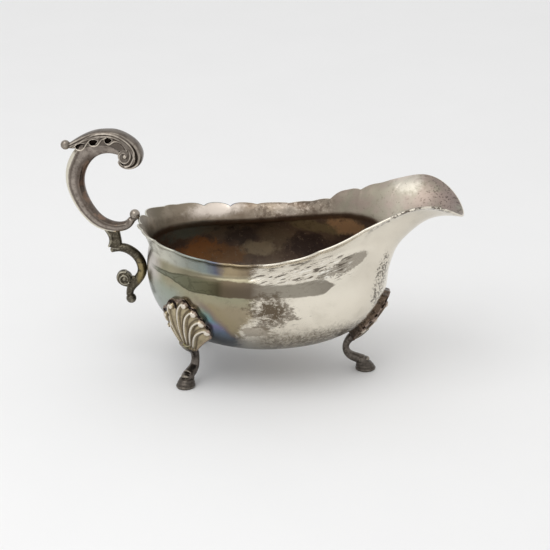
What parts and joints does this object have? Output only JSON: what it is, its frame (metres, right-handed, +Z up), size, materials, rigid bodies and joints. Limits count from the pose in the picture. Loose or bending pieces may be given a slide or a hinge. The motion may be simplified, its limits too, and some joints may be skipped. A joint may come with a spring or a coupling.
{
  "type": "sauce boat",
  "caption": "Oval silver-plated sauce boat with a scalloped flared rim, a long pouring lip, a double scroll handle and cabriole legs with shell knees.",
  "frame": {"origin": "middle of the whole length and width, on the plane that the hooves stand on", "axes": "+X towards the pouring lip, +Y to the left seen from the handle, +Z up"},
  "size_m": [0.1823, 0.079, 0.1141],
  "materials": {
    "silver_plate": "worn silver plate: bright to satin, with black pitting and blue, violet and yellow tarnish",
    "handle_silver": "cast silver plate with dark tarnish in the grooves, worn bright on the edges",
    "shell_silver": "cast silver plate, dark in the flutes and bright on the ribs",
    "leg_silver": "cast silver plate, dark tarnish all over"
  },
  "bodies": {
    "root": {"bowl": "silver_plate", "handle_main_scroll": "handle_silver", "handle_leaf": "handle_silver", "handle_strut": "handle_silver", "handle_lower_scroll": "handle_silver", "front_shell": "shell_silver", "rear_left_shell": "shell_silver", "rear_right_shell": "shell_silver", "front_leg": "leg_silver", "rear_left_leg": "leg_silver", "rear_right_leg": "leg_silver"}
  },
  "joints": []
}
